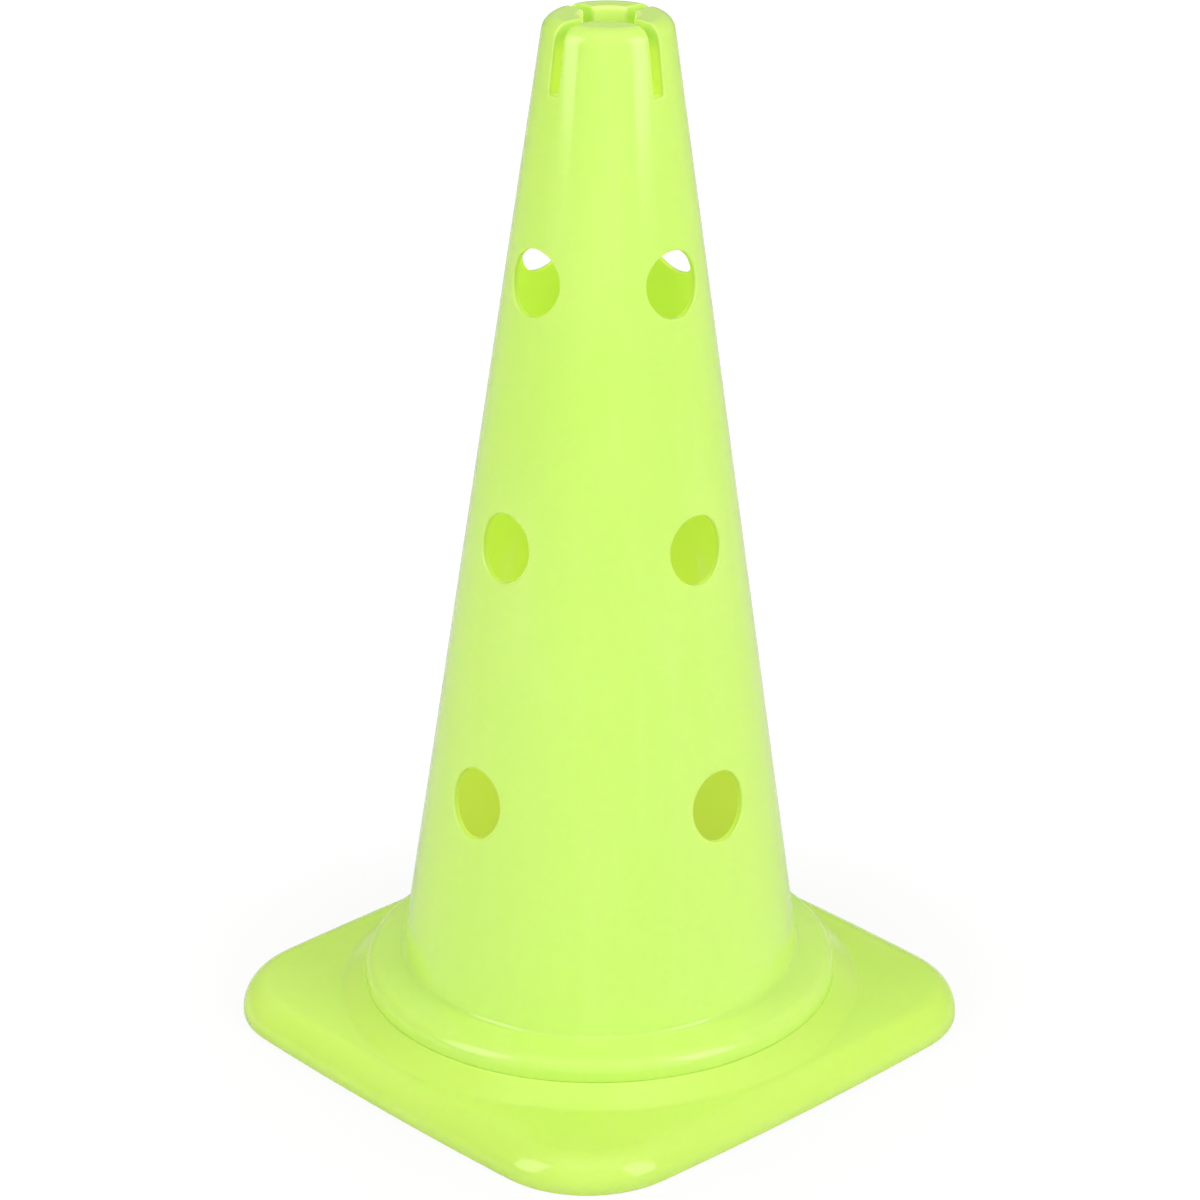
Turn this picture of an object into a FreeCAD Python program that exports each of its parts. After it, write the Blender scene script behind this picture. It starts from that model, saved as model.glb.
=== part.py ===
import FreeCAD, Part
import math
import os

# Multi-purpose marker cone: a hollow tapered body with a slotted crown and
# twelve round pole holes, snapped into a square base plate with rounded
# corners.  Millimetres, +Z up, origin at the centre of the footprint on the
# floor.  The base sides face +X, -X, +Y and -Y.

Vector = FreeCAD.Vector
ORIGIN = Vector(0, 0, 0)
Z_AXIS = Vector(0, 0, 1)

# ---------------------------------------------------------------- dimensions
height = 500.0            # floor to flat crown
wall = 3.0                # moulded wall of body and base

# tapered body
floor_r = 101.9           # outer radius of the taper, carried down to the floor
taper = 0.14014           # loss of radius per mm of height
crown_round = 8.5         # convex round between taper and flat crown
seam_deg = 45.0           # turns the seam of the round walls away from slots and holes

# pole opening in the crown, with a socket tube below it
opening_r = 14.5          # takes a 25 mm pole with play
opening_lip = 2.0         # rounded lip of the opening
socket_depth = 38.0       # length of the socket tube below the crown
socket_edge = 0.8         # rounded lower edges of the tube
socket_fillet = 1.5       # between tube and crown, inside the body
socket_r = opening_r + wall

# hoop slots, four, on the X and Y axes
slot_half = 6.4 / 2       # half the slot width
slot_depth = 34.0         # below the flat crown
slot_corner = 1.6
slot_edge = 0.8           # softened outer edge
cheek = 2.4               # thickness of the walls and floor that line a slot
slot_reach = 60.0         # half length of the slot tools, past the outer skin
slot_over = 5.0           # height of the slot tools above the crown
slot_bottom = height - slot_depth
lining_bottom = slot_bottom - cheek

# pole holes, four at each height, on the X and Y axes
hole_r = 16.0
hole_heights = (130.0, 251.0, 377.0)
hole_edge = 1.0           # softened outer rim
drill_reach = 130.0       # half length of the drill

# collar at the foot of the body
collar_r = 115.4          # outer wall of the collar
collar_in_z = 34.46       # height where the collar top meets the taper
collar_slope = 0.2143     # fall of the collar top per mm outwards
collar_round = 6.0        # convex outer edge
collar_fillet = 2.5       # concave fillet between taper and collar
foot_edge = 0.6

# base plate
side_half = 141.8         # half width across the middle of the bowed sides
corner_r = 53.0           # plan radius of the corners
corner_at = 86.9          # corner centres at (+-corner_at, +-corner_at)
plate_h = 14.4            # height of the plate's flat top
rim_round = 12.5          # large round along the plate's upper edge
mouth_r = 108.0           # round mouth of the plate

# seat that the collar stands on, and the flare around it
seat_z = 21.6
seat_r = 116.0            # outer edge of the seat
seat_edge = 0.5
flare_r = 127.5           # where the flare meets the flat top
flare_blend = 5.0
flare_root = 4.0          # depth the flare reaches into the plate
flare_slope = (seat_z - plate_h) / (flare_r - seat_r)
flare_root_out = 0.2 * flare_root / flare_slope  # outward spread of the outer root
hollow_root_out = 1.0     # outward spread of the hollow's root

# snap tabs that hold the body in the plate
tab_count = 8
tab_half_deg = 3.2
tab_r_in = 104.4
tab_r_out = 107.2
tab_barb_r = 109.4
tab_bottom = 15.0
tab_bottom_inset = 0.2    # outer radius lost at the tab's lower end
tab_top_in = 30.6         # both top corners end inside the collar's wall
tab_top_out = 30.0
barb_top = seat_z - wall - 0.2   # just below the seat's underside
barb_low = seat_z - wall - 1.0

# edge selection
skin_tol = 0.02           # an edge this close to the skin lies on it
position_tol = 1e-3
level_tol = 1e-4
round_gap = 2.7           # limit on how far a round lies inside its sharp corner


# ------------------------------------------------------------------- helpers
def taper_radius(z):
    return floor_r - taper * z


def collar_top(radius):
    """Height of the collar's sloping top at a radius."""
    return collar_in_z - collar_slope * (radius - taper_radius(collar_in_z))


def rounded_profile(points):
    """Closed wire in the XZ plane from (x, z, round) corners."""
    corners = []    # (start, middle, end) of each arc; middle is None if sharp
    for i, (x, z, radius) in enumerate(points):
        corner = Vector(x, 0, z)
        if radius <= 0:
            corners.append((corner, None, corner))
            continue
        before = points[i - 1]
        after = points[(i + 1) % len(points)]
        back = (Vector(before[0], 0, before[1]) - corner).normalize()
        ahead = (Vector(after[0], 0, after[1]) - corner).normalize()
        half_angle = back.getAngle(ahead) / 2.0
        setback = radius / math.tan(half_angle)
        bisector = (back + ahead).normalize()
        to_middle = radius / math.sin(half_angle) - radius
        corners.append((corner + back * setback, corner + bisector * to_middle,
                        corner + ahead * setback))
    edges = []
    for i, (start, middle, end) in enumerate(corners):
        if middle is not None:
            edges.append(Part.Arc(start, middle, end).toShape())
        following = corners[(i + 1) % len(corners)][0]
        if (following - end).Length > 1e-7:
            edges.append(Part.makeLine(end, following))
    return Part.Wire(edges)


def revolved(points, degrees=360.0, start=0.0):
    """Solid turned about Z from (radius, z, round) corners."""
    solid = Part.Face(rounded_profile(points)).revolve(ORIGIN, Z_AXIS, degrees)
    if start:
        solid.rotate(ORIGIN, Z_AXIS, start)
    return solid


# ----------------------------------------------------------------- cone body
def body_shell():
    """Hollow taper with its crown, socket tube and collar."""
    inset = wall / math.cos(math.atan(taper))         # wall, measured along the radius
    drop = wall * math.sqrt(1 + collar_slope ** 2)    # collar's wall, measured along Z
    roof_z = height - wall
    # where the inner taper meets the underside of the collar top
    foot_z = collar_in_z + (collar_slope * inset - drop) / (1 - collar_slope * taper)
    collar_in_r = collar_r - wall
    return revolved([
        (collar_r, seat_z, foot_edge),
        (collar_r, collar_top(collar_r), collar_round),
        (taper_radius(collar_in_z), collar_in_z, collar_fillet),
        (taper_radius(height), height, crown_round),
        (opening_r, height, opening_lip),
        (opening_r, height - socket_depth, socket_edge),
        (socket_r, height - socket_depth, socket_edge),
        (socket_r, roof_z, socket_fillet),
        (taper_radius(roof_z) - inset, roof_z, crown_round - wall),
        (taper_radius(foot_z) - inset, foot_z, collar_fillet + wall),
        (collar_in_r, collar_top(collar_in_r) - drop, collar_round - wall),
        (collar_in_r, seat_z, 0),
    ], start=seam_deg)


def snap_tab(middle_deg):
    """Tab hanging from the collar, with a barb under the plate's seat."""
    return revolved([
        (tab_r_in, tab_top_in, 0),
        (tab_r_out, tab_top_out, 0),
        (tab_r_out, barb_top, 0),
        (tab_barb_r, barb_top, 0),
        (tab_barb_r, barb_low, 0),
        (tab_r_out - tab_bottom_inset, tab_bottom, 0),
        (tab_r_in, tab_bottom, 0),
    ], 2 * tab_half_deg, middle_deg - tab_half_deg)


def add_slot_linings(body):
    """Cheeks and a floor that keep the slots from opening into the hollow body."""
    # the linings end halfway through the walls around them
    middle = wall / 2
    core = revolved([
        (opening_r + middle, lining_bottom, 0),
        (taper_radius(lining_bottom) - middle, lining_bottom, 0),
        (taper_radius(height - middle) - middle, height - middle, crown_round - middle),
        (opening_r + middle, height - middle, 0),
    ], start=seam_deg)
    half = slot_half + cheek
    for angle in (0, 90):
        lining = Part.makeBox(2 * slot_reach, 2 * half, height - lining_bottom + slot_over,
                              Vector(-slot_reach, -half, lining_bottom))
        lining.rotate(ORIGIN, Z_AXIS, angle)
        body = body.fuse(lining.common(core))
    return body


def slot_cutter(angle):
    """Bar right across the crown, with its long lower edges rounded."""
    top = height + slot_over
    section = Part.makePolygon([Vector(slot_reach, y, z) for y, z in (
        (-slot_half, top), (-slot_half, slot_bottom),
        (slot_half, slot_bottom), (slot_half, top), (-slot_half, top))])
    bar = Part.Face(section).extrude(Vector(-2 * slot_reach, 0, 0))
    low_edges = [e for e in bar.Edges
                 if abs(e.BoundBox.ZMax - slot_bottom) < level_tol
                 and e.BoundBox.XLength > slot_reach]
    bar = bar.makeFillet(slot_corner, low_edges)
    bar.rotate(ORIGIN, Z_AXIS, angle)
    return bar


def on_slot_edge(edge):
    """True where a slot breaks through the outer skin: up the taper, over the
    crown round, across the flat crown and down the lip of the opening."""
    if edge.BoundBox.ZMax < slot_bottom - 0.5:
        return False
    points = edge.discretize(9)
    for p in points:
        off_side = min(abs(abs(p.x) - slot_half), abs(abs(p.y) - slot_half))
        if off_side >= position_tol and p.z >= slot_bottom + slot_corner + position_tol:
            return False
    # depth of each point below the unrounded skin
    depths = [min(taper_radius(p.z) - math.hypot(p.x, p.y), height - p.z) for p in points]
    if max(depths) < skin_tol:
        return True
    on_round = all(p.z > height - crown_round and math.hypot(p.x, p.y) > socket_r + 3
                   for p in points)
    on_lip = all(p.z > height - opening_lip - 0.01 for p in points)
    return max(depths) < round_gap and (on_round or on_lip)


def pole_drill(z, axis):
    """Cylinder in four quarters, which give each hole an upper, a lower and
    two side faces, because its rim follows the cone's slope and curve."""
    start = Vector(0, 0, z) - axis * drill_reach
    quarters = []
    for i in range(4):
        quarter = Part.makeCylinder(hole_r, 2 * drill_reach, start, axis, 90)
        quarter.rotate(start, axis, 45 + 90 * i)
        quarters.append(quarter)
    drill = quarters[0]
    for quarter in quarters[1:]:
        drill = drill.fuse(quarter)
    return drill


def on_hole_rim(edge):
    """True for edges around a pole hole that lie on the outer taper."""
    points = edge.discretize(9)
    if any(abs(taper_radius(p.z) - math.hypot(p.x, p.y)) >= skin_tol for p in points):
        return False
    return any(
        all(abs(math.hypot(p[across], p.z - z) - hole_r) < skin_tol for p in points)
        for z in hole_heights for across in (0, 1))


def cone_body():
    body = body_shell()
    for i in range(tab_count):
        body = body.fuse(snap_tab(360.0 / tab_count * (i + 0.5)))

    body = add_slot_linings(body)
    body = body.cut(slot_cutter(0).fuse(slot_cutter(90)))
    body = body.makeFillet(slot_edge, [e for e in body.Edges if on_slot_edge(e)])

    for z in hole_heights:
        for axis in (Vector(1, 0, 0), Vector(0, 1, 0)):
            body = body.cut(pole_drill(z, axis))
    return body.makeFillet(hole_edge, [e for e in body.Edges if on_hole_rim(e)])


# ---------------------------------------------------------------- base plate
def plate_outline(inset):
    """Square outline on the floor with bowed sides and rounded corners, all tangent."""
    half = side_half - inset
    radius = corner_r - inset
    # radius of the side arcs, which touch the corner arcs from outside them
    reach = half - corner_at
    side_r = (radius ** 2 - reach ** 2 - corner_at ** 2) / (2.0 * (radius - reach))
    side_x = half - side_r    # centre of the +X side's arc
    angle = math.atan2(corner_at, corner_at - side_x)
    join_x = side_x + side_r * math.cos(angle)
    join_y = side_r * math.sin(angle)
    diagonal = corner_at + radius / math.sqrt(2.0)
    side = [(join_x, -join_y), (half, 0), (join_x, join_y)]
    corner = [(join_x, join_y), (diagonal, diagonal), (join_y, join_x)]
    edges = []
    for i in range(4):
        turn = FreeCAD.Rotation(Z_AXIS, 90 * i)
        for arc in (side, corner):
            edges.append(Part.Arc(*[turn.multVec(Vector(x, y, 0)) for x, y in arc]).toShape())
    return Part.Wire(edges)


def plate_block(inset):
    """Solid plate with a rounded upper edge, inset on its sides and top."""
    top = plate_h - inset
    block = Part.Face(plate_outline(inset)).extrude(Vector(0, 0, top))
    top_edges = [e for e in block.Edges if e.BoundBox.ZMin > top - level_tol]
    return block.makeFillet(rim_round - inset, top_edges)


def flare_block(thickness, shift, root_out, edge_round):
    """Flare and seat, lowered by thickness and moved inwards by shift."""
    top = plate_h - thickness
    return revolved([
        (0, top - flare_root, 0),
        (flare_r - shift + root_out, top - flare_root, 0),
        (flare_r - shift, top, 0),
        (seat_r - shift, seat_z - thickness, edge_round),
        (0, seat_z - thickness, 0),
    ])


def base_plate():
    outer = plate_block(0.0).fuse(flare_block(0.0, 0.0, flare_root_out, seat_edge))
    outer = outer.removeSplitter()
    crease = [e for e in outer.Edges
              if isinstance(e.Curve, Part.Circle) and abs(e.Curve.Radius - flare_r) < 0.01
              and abs(e.BoundBox.ZMax - plate_h) < position_tol]
    outer = outer.makeFillet(flare_blend, crease)

    # inward shift that keeps the sloping wall of the flare at full thickness
    shift = wall * (math.sqrt(1 + flare_slope ** 2) - 1.0) / flare_slope
    cavity = plate_block(wall).fuse(flare_block(wall, shift, hollow_root_out, 0))
    mouth = Part.makeCylinder(mouth_r, 60, Vector(0, 0, -10))
    return outer.cut(cavity).cut(mouth)


os.makedirs("parts", exist_ok=True)
cone_body().exportStep("parts/cone_body.step")
base_plate().exportStep("parts/base_plate.step")
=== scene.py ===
import math

import bpy
import numpy as np
from mathutils import Matrix, Vector


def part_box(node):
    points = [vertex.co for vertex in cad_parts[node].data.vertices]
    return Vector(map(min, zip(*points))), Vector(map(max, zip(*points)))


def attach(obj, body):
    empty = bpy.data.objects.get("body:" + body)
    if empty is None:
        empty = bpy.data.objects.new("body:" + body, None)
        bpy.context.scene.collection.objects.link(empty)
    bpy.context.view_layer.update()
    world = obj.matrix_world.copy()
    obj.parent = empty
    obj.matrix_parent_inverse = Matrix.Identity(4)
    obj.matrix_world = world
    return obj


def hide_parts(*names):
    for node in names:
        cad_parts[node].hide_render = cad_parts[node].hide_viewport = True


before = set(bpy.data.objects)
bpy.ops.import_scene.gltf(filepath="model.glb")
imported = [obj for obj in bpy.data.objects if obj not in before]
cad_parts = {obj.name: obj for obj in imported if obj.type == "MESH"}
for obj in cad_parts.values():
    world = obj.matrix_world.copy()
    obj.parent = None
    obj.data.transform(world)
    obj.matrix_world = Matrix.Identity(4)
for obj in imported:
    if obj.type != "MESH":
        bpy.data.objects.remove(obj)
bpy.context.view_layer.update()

BODY_LO, BODY_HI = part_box("cone_body")
BASE_LO, BASE_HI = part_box("base_plate")

MM = 0.001

# --------------------------------------------------------------------------
# dimensions in millimetres, the same design values as the CAD model; the four
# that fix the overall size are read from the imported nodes
# --------------------------------------------------------------------------
H = round(BODY_HI.z / MM, 2)                  # flat crown
SIDE_HALF = round(BASE_HI.x / MM, 2)          # half width across bowed sides
COLLAR_R = round(BODY_HI.x / MM, 2)
SEAT_Z = round(BASE_HI.z / MM, 2)

WALL = 3.0
BODY_R0, TAPER = 101.9, 0.14014
CROWN_ROUND = 8.5
OPEN_R, OPEN_LIP, SOCKET, CHEEK = 14.5, 2.0, 38.0, 2.4
SLOT_W, SLOT_DEPTH, SLOT_CORNER, SLOT_EDGE = 6.4, 34.0, 1.6, 0.8
HOLE_R, HOLE_EDGE = 16.0, 1.0
HOLE_Z = (130.0, 251.0, 377.0)
COLLAR_TOP_Z, COLLAR_SLOPE = 34.46, 0.2143
COLLAR_ROUND, COLLAR_FILLET, FOOT_EDGE = 6.0, 2.5, 0.6
CORNER_R, CORNER_C = 53.0, 86.9
PLATE_H, RIM_ROUND = 14.4, 12.5
SEAT_R, FLARE_R, FLARE_BLEND, MOUTH_R = 116.0, 127.5, 5.0, 108.0
TAB_IN, TAB_OUT, TAB_BARB, TAB_Z = 104.4, 107.2, 109.4, 15.0

IN_OFF = WALL / math.cos(math.atan(TAPER))
TOP_UNDER = WALL * math.sqrt(1 + COLLAR_SLOPE ** 2)


def taper_r(z):
    return BODY_R0 - TAPER * z


# --------------------------------------------------------------------------
# small mesh kit
# --------------------------------------------------------------------------
class Builder:
    def __init__(self):
        self.v, self.f, self.crease = [], [], {}

    def vert(self, x, y, z):
        self.v.append((x, y, z))
        return len(self.v) - 1

    def face(self, *ids):
        out = []
        for i in ids:
            if not out or out[-1] != i:
                out.append(i)
        if out[0] == out[-1]:
            out.pop()
        if len(out) > 2:
            self.f.append(tuple(out))

    def sharpen(self, a, b, value):
        self.crease[(min(a, b), max(a, b))] = value

    def make(self, name):
        me = bpy.data.meshes.new(name)
        me.from_pydata([(x * MM, y * MM, z * MM) for x, y, z in self.v], [], self.f)
        me.validate()
        me.update()
        if self.crease:
            at = me.attributes.new("crease_edge", "FLOAT", "EDGE")
            for e in me.edges:
                a, b = e.vertices
                c = self.crease.get((min(a, b), max(a, b)))
                if c:
                    at.data[e.index].value = c
        me.polygons.foreach_set("use_smooth", [True] * len(me.polygons))
        ob = bpy.data.objects.new(name, me)
        bpy.context.scene.collection.objects.link(ob)
        return ob


def path(points):
    """Open path through (r, z, round, segments) corners; returns a list of runs.

    Every corner gives one run (its arc) and every leg between corners one run,
    so that an outer and an inner path stay matched point for point.
    """
    n = len(points)
    arcs = []
    for i, (x, z, r, seg) in enumerate(points):
        p = np.array([x, z], float)
        if i in (0, n - 1) or r <= 0:
            arcs.append([p])
            continue
        a, b = np.array(points[i - 1][:2], float), np.array(points[i + 1][:2], float)
        u, w = (a - p) / np.linalg.norm(a - p), (b - p) / np.linalg.norm(b - p)
        half = math.acos(max(-1, min(1, float(u @ w)))) / 2
        t = r / math.tan(half)
        bis = (u + w) / np.linalg.norm(u + w)
        c = p + bis * r / math.sin(half)
        s, e = p + u * t - c, p + w * t - c
        sweep = math.pi - 2 * half
        sign = 1.0 if s[0] * e[1] - s[1] * e[0] > 0 else -1.0
        run = []
        for k in range(seg + 1):
            g = sign * sweep * k / seg
            run.append(c + np.array([s[0] * math.cos(g) - s[1] * math.sin(g),
                                     s[0] * math.sin(g) + s[1] * math.cos(g)]))
        arcs.append(run)
    return arcs


# --------------------------------------------------------------------------
# cone body
# --------------------------------------------------------------------------
def collar_top(r):
    return COLLAR_TOP_Z - COLLAR_SLOPE * (r - taper_r(COLLAR_TOP_Z))


HOLE_HALF = (31.0, 28.0, 24.5)
KS, KP, KQ = 4, 17, 26         # slot, hole patch and quadrant half counts, in columns
SLOT_BOTTOM = H - SLOT_DEPTH
Z_LOW = SLOT_BOTTOM - CHEEK
SOCKET_Z = H - SOCKET
TUBE_R = OPEN_R + WALL


def patch_rows(z0):
    """Heights from z0 up to the top of the highest hole patch, patch limits included."""
    marks = [z0]
    for zc, h in zip(HOLE_Z, HOLE_HALF):
        marks += [zc - h, zc + h]
    zs = []
    for a, b in zip(marks[:-1], marks[1:]):
        n_ = max(1, int(round((b - a) / 3.4))) if a != z0 else 18
        zs += [a + (b - a) * k / n_ for k in range(1, n_ + 1)]
    return zs


def lerp_rows(a, b, fracs):
    return [a + (b - a) * t for t in fracs]


def outer_rows():
    """Outer skin, foot to socket end, over the crown and down the bore."""
    rows, tag = [], {}
    for k in range(4):
        g = math.radians(30 * k)
        rows.append(np.array([COLLAR_R - FOOT_EDGE + FOOT_EDGE * math.sin(g), SEAT_Z + FOOT_EDGE * (1 - math.cos(g))]))
    A = path([
        (COLLAR_R, SEAT_Z + FOOT_EDGE, 0, 0),
        (COLLAR_R, collar_top(COLLAR_R), COLLAR_ROUND, 8),
        (taper_r(COLLAR_TOP_Z), COLLAR_TOP_Z, COLLAR_FILLET, 6),
        (taper_r(H), H, CROWN_ROUND, 12),
        (OPEN_R, H, OPEN_LIP, 6),
        (OPEN_R, SOCKET_Z, 0.8, 3),
        (OPEN_R + 1.5, SOCKET_Z, 0, 0),
    ])
    rows += lerp_rows(rows[-1], A[1][0], (1 / 3, 2 / 3))
    rows += list(A[1])
    rows += lerp_rows(A[1][-1], A[2][0], (0.3, 0.5, 0.75))
    rows += list(A[2])
    zs = patch_rows(A[2][-1][1])
    zs += spread(zs[-1], SLOT_BOTTOM - 5.0, 3.4)[1:]
    zs += spread(zs[-1], SLOT_BOTTOM - SLOT_EDGE, 2.1)[1:]
    rows += [np.array([taper_r(z), z]) for z in zs]
    tag["lo"] = len(rows) - 1
    c = SLOT_CORNER
    up = [SLOT_BOTTOM + c - c * math.sin(math.radians(22.5)), SLOT_BOTTOM + c]
    zs = up + spread(up[-1], A[3][0][1], 3.0)[1:-1]
    rows += [np.array([taper_r(z), z]) for z in zs]
    rows += list(A[3])
    rows += lerp_rows(A[3][-1], A[4][0], (0.25, 0.5, 0.75))
    rows += list(A[4])
    zs = spread(A[4][-1][1], up[1], -3.0)[1:] + [up[0], SLOT_BOTTOM - SLOT_EDGE]
    rows += [np.array([OPEN_R, z]) for z in zs]
    tag["hi"] = len(rows) - 1
    rows.append(np.array([OPEN_R, SLOT_BOTTOM - 2.0]))
    rows += list(A[5])
    return rows, tag


def inner_rows():
    """Hidden skin: collar, inner taper, roof, outside of the socket tube."""
    rows, tag = [], {}
    ci = COLLAR_R - WALL
    z = COLLAR_TOP_Z
    for _ in range(60):
        r = taper_r(z) - IN_OFF
        z = collar_top(r) - TOP_UNDER
    fr, fz = r, z
    for k in range(4):
        g = math.radians(30 * k)
        rows.append(np.array([ci + 0.4 - 0.4 * math.sin(g), SEAT_Z + 0.4 * (1 - math.cos(g))]))
    roof = H - WALL
    A = path([
        (ci, SEAT_Z + 0.4, 0, 0),
        (ci, collar_top(ci) - TOP_UNDER, COLLAR_ROUND - WALL, 8),
        (fr, fz, COLLAR_FILLET + WALL, 6),
        (taper_r(roof) - IN_OFF, roof, CROWN_ROUND - WALL, 8),
        (TUBE_R, roof, 1.5, 4),
        (TUBE_R, SOCKET_Z, 0.8, 3),
        (TUBE_R - 1.5, SOCKET_Z, 0, 0),
    ])
    rows += lerp_rows(rows[-1], A[1][0], (1 / 3, 2 / 3))
    rows += list(A[1])
    tag["tab"] = len(rows)
    a, b = A[1][-1], A[2][0]
    for rr in (TAB_OUT, TAB_IN, (TAB_IN + b[0]) / 2):
        rows.append(a + (b - a) * ((rr - a[0]) / (b[0] - a[0])))
    rows += list(A[2])
    zs = patch_rows(A[2][-1][1])
    zs += spread(zs[-1], Z_LOW, 3.4)[1:]
    rows += [np.array([taper_r(z) - IN_OFF, z]) for z in zs]
    tag["lo"] = len(rows) - 1
    zs = spread(Z_LOW, A[3][0][1], 3.4)[1:-1]
    rows += [np.array([taper_r(z) - IN_OFF, z]) for z in zs]
    rows += list(A[3])
    rows += lerp_rows(A[3][-1], A[4][0], (0.33, 0.67))
    rows += list(A[4])
    zs = spread(A[4][-1][1], Z_LOW, -3.4)[1:]
    rows += [np.array([TUBE_R, z]) for z in zs]
    tag["hi"] = len(rows) - 1
    rows += list(A[5])
    return rows, tag


def spread(a, b, step):
    n_ = max(1, int(round((b - a) / step)))
    return [a + (b - a) * k / n_ for k in range(n_ + 1)]


def column_angle(k, r, half):
    """Angle of column k (0 at an axis, KQ at 45 degrees) at radius r."""
    a = abs(k)
    if a <= KS:
        v = math.asin(half * a / KS / r)
    else:
        g = math.asin((half + 1.05) / r)
        v = g + (math.pi / 4 - g) * (a - KS - 1) / (KQ - KS - 1)
    return v if k >= 0 else -v


def build_body():
    B = Builder()
    ro, to = outer_rows()
    ri, ti = inner_rows()
    c = SLOT_CORNER
    w = SLOT_W / 2
    half_o, half_i = w + SLOT_EDGE, w + CHEEK
    patches = [(zc - h, zc + h) for zc, h in zip(HOLE_Z, HOLE_HALF)]

    def local(q, x, y, z):
        s, t = (0, 1, 0, -1)[q], (1, 0, -1, 0)[q]
        return (x * t - y * s, x * s + y * t, z)

    def in_patch(z, slack):
        return any(lo + slack < z < hi - slack for lo, hi in patches)

    def slot_base(step, k):
        """Point (y, z) on the slot's U and its outward direction; step counts rows up from the bottom."""
        side = 1 if k >= 0 else -1
        k = abs(k)
        if step >= 2:
            return (w * side, None), (side, 0.0)
        if step == 1:
            g = math.radians(22.5)
        elif k == KS:
            g = math.radians(45)
        elif k == KS - 1:
            g = math.radians(67.5)
        else:
            return ((w - c) * k / (KS - 2) * side, SLOT_BOTTOM), (0.0, -1.0)
        return ((w - c + c * math.cos(g)) * side, SLOT_BOTTOM + c - c * math.sin(g)), (math.cos(g) * side, -math.sin(g))

    def step_of(i):
        return min(i - to["lo"], to["hi"] - i)

    def skin_r(i, z):
        return taper_r(z) if i < (to["lo"] + to["hi"]) / 2 else OPEN_R

    def skin(rows, tag, half, outer):
        ids, shared = [], {}
        for i, (r, z) in enumerate(rows):
            line = []
            for q in range(4):
                seg = []
                for k in range(-KQ, KQ + 1):
                    key = None
                    if abs(k) == KQ:
                        key = (i, (2 * q + (1 if k > 0 else -1)) % 8)
                        if key in shared:
                            seg.append(shared[key])
                            continue
                    if tag["lo"] < i < tag["hi"] and abs(k) < KS:
                        seg.append(None)
                        continue
                    if abs(k) < KP and z < 420 and in_patch(z, 1e-3):
                        seg.append(None)
                        continue
                    if outer and tag["lo"] <= i <= tag["hi"] and abs(k) <= KS and step_of(i) < 2:
                        (y, zz), (oy, oz) = slot_base(step_of(i), k)
                        y, zz = y + oy * SLOT_EDGE, zz + oz * SLOT_EDGE
                        rr = skin_r(i, zz)
                        p = local(q, math.sqrt(rr * rr - y * y), y, zz)
                    else:
                        a = column_angle(k, r, half)
                        p = local(q, r * math.cos(a), r * math.sin(a), z)
                    v = B.vert(*p)
                    if key:
                        shared[key] = v
                    seg.append(v)
                line.append(seg)
            ids.append(line)
        return ids

    OI = skin(ro, to, half_o, True)
    II = skin(ri, ti, half_i, False)

    best = min(range(KS + 2, KQ - 3), key=lambda k: abs(
        (column_angle(k, 106, half_i) + column_angle(k + 3, 106, half_i)) / 2 - math.radians(22.5)))
    t0, t1 = best, best + 3

    def grid(ids, rows, tag, flip, inner):
        for i in range(len(rows) - 1):
            zm = (rows[i][1] + rows[i + 1][1]) / 2
            for q in range(4):
                for kk in range(2 * KQ):
                    k = kk - KQ
                    if tag["lo"] <= i < tag["hi"] and -KS <= k < KS:
                        continue
                    if zm < 420 and -KP <= k < KP and in_patch(zm, 0.0):
                        continue
                    if inner and i == tag["tab"] and (t0 <= k < t1 or -t1 <= k < -t0):
                        continue
                    a, b = ids[i][q][kk], ids[i][q][kk + 1]
                    d, e = ids[i + 1][q][kk], ids[i + 1][q][kk + 1]
                    B.face(*((a, d, e, b) if flip else (a, b, e, d)))

    grid(OI, ro, to, False, False)
    grid(II, ri, ti, True, True)

    # foot and socket-end strips between the skins
    for ro_i, ri_i, flip in ((0, 0, True), (len(ro) - 1, len(ri) - 1, False)):
        for q in range(4):
            for kk in range(2 * KQ):
                a, b = OI[ro_i][q][kk], OI[ro_i][q][kk + 1]
                d, e = II[ri_i][q][kk], II[ri_i][q][kk + 1]
                B.face(*((a, d, e, b) if flip else (a, b, e, d)))

    def inward(i):
        """Unit normal of the outer skin's profile at row i, pointing into the material."""
        if i <= to["lo"] + 2 or i >= to["hi"] - 2:
            return (-1.0, 0.0) if i < (to["lo"] + to["hi"]) / 2 else (1.0, 0.0)
        t = ro[i + 1] - ro[i - 1]
        a, b = ro[i] - ro[i - 1], ro[i + 1] - ro[i]
        a, b = a / np.linalg.norm(a), b / np.linalg.norm(b)
        t = a + b
        t = t / np.linalg.norm(t)
        return (-t[1], t[0])

    # slots: rounded edge, flat cheeks, U-shaped floor
    lo, hi = to["lo"], to["hi"]
    for q in range(4):
        def ring(i, k):
            st = step_of(i)
            nr, nz = inward(i)
            (y, zz), (oy, oz) = slot_base(st, k)
            run = [OI[i][q][k + KQ]]
            for g, depth in ((22.5, None), (45, None), (67.5, None), (90, None), (90, SLOT_EDGE + 0.7)):
                g = math.radians(g)
                lat = SLOT_EDGE * (1 - math.sin(g))
                dep = SLOT_EDGE * (1 - math.cos(g)) if depth is None else depth
                yy = y + oy * lat
                if st < 2:
                    z3 = zz + oz * lat
                    rr = skin_r(i, z3) + nr * dep
                else:
                    z3 = ro[i][1] + nz * dep
                    rr = ro[i][0] + nr * dep
                run.append(B.vert(*local(q, math.sqrt(rr * rr - yy * yy), yy, z3)))
            return run

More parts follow.
